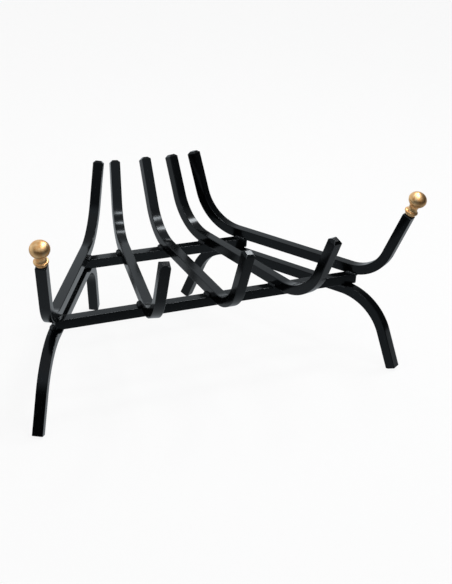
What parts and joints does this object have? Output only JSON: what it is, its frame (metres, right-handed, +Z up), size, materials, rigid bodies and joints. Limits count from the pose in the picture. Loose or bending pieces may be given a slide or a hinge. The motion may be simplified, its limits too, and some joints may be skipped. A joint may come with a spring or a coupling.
{
  "type": "log grate",
  "caption": "Welded fireplace log grate of solid square bar: fanned rungs bent up at both ends on two crossbars and bent leg arches, with turned brass ball finials on the outer front fingers.",
  "frame": {"origin": "middle of the footprint, on the floor the feet stand on", "axes": "+Z up, +X to the right of someone facing the fire, +Y towards the back of the fireplace; the fingers and finials point to -Y"},
  "size_m": [0.6328, 0.4262, 0.3016],
  "materials": {
    "black_paint": "semi-gloss black paint",
    "zinc_steel": "zinc-plated thread",
    "brass": "polished and lacquered"
  },
  "bodies": {
    "grate": {"crossbar_front": "black_paint", "crossbar_rear": "black_paint", "leg_arch_left": "black_paint", "leg_arch_right": "black_paint", "rung_outer_left": "black_paint", "rung_inner_left": "black_paint", "rung_centre": "black_paint", "rung_inner_right": "black_paint", "rung_outer_right": "black_paint", "weld_leg_arch_left_front_left": "black_paint", "weld_leg_arch_left_front_right": "black_paint", "weld_leg_arch_left_rear_left": "black_paint", "weld_leg_arch_left_rear_right": "black_paint", "weld_leg_arch_right_front_left": "black_paint", "weld_leg_arch_right_front_right": "black_paint", "weld_leg_arch_right_rear_left": "black_paint", "weld_leg_arch_right_rear_right": "black_paint", "weld_rung_outer_left_front_left": "black_paint", "weld_rung_outer_left_front_right": "black_paint", "weld_rung_outer_left_rear_left": "black_paint", "weld_rung_outer_left_rear_right": "black_paint", "weld_rung_inner_left_front_left": "black_paint", "weld_rung_inner_left_front_right": "black_paint", "weld_rung_inner_left_rear_left": "black_paint", "weld_rung_inner_left_rear_right": "black_paint", "weld_rung_centre_front_left": "black_paint", "weld_rung_centre_front_right": "black_paint", "weld_rung_centre_rear_left": "black_paint", "weld_rung_centre_rear_right": "black_paint", "weld_rung_inner_right_front_left": "black_paint", "weld_rung_inner_right_front_right": "black_paint", "weld_rung_inner_right_rear_left": "black_paint", "weld_rung_inner_right_rear_right": "black_paint", "weld_rung_outer_right_front_left": "black_paint", "weld_rung_outer_right_front_right": "black_paint", "weld_rung_outer_right_rear_left": "black_paint", "weld_rung_outer_right_rear_right": "black_paint", "stud_left": "zinc_steel", "stud_right": "zinc_steel"},
    "finial_left": {"finial_left": "brass"},
    "finial_right": {"finial_right": "brass"}
  },
  "joints": [
    {"name": "finial_left_turn", "type": "hinge", "parent": "grate", "child": "finial_left", "pos_m": [-0.29645, -0.15636, 0.26294], "axis": [-0.1781, -0.292, 0.9397], "continuous": true},
    {"name": "finial_right_turn", "type": "hinge", "parent": "grate", "child": "finial_right", "pos_m": [0.29645, -0.15636, 0.26294], "axis": [0.1781, -0.292, 0.9397], "continuous": true}
  ]
}
